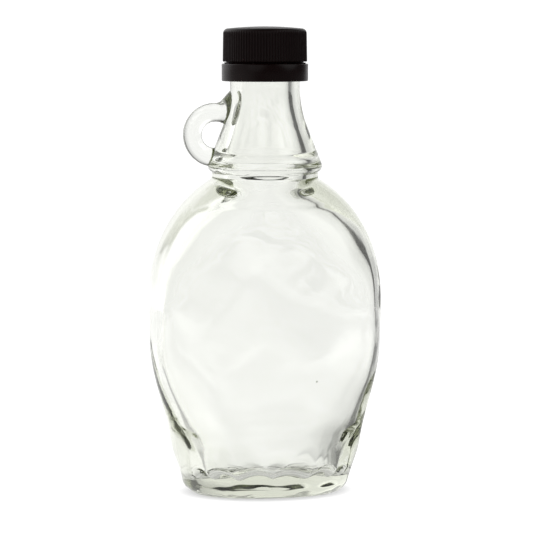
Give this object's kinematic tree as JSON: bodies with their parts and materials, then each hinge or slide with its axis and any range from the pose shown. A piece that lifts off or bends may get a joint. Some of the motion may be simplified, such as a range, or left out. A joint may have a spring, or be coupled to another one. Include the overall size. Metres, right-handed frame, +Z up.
{
  "type": "syrup bottle",
  "caption": "Empty flat-sided clear glass syrup flask with a finger loop at the flared neck, closed by a black ribbed screw cap with a tamper-evident band.",
  "frame": {"origin": "middle of the base on the plane that the bottle stands on", "axes": "+Z up along the neck's axis, +X across the wide front away from the finger loop, +Y through the bottle from front to back"},
  "size_m": [0.0832, 0.0464, 0.166],
  "materials": {
    "clear_glass": "clear moulded glass, fire polished, faintly green-grey where it is thick, slightly wavy inside",
    "cap_plastic": "black moulded plastic with fine vertical ribs, satin",
    "band_plastic": "black moulded plastic, smooth, semi-gloss"
  },
  "bodies": {
    "root": {"bottle": "clear_glass", "cap": "cap_plastic", "tamper_band": "band_plastic"}
  },
  "joints": []
}
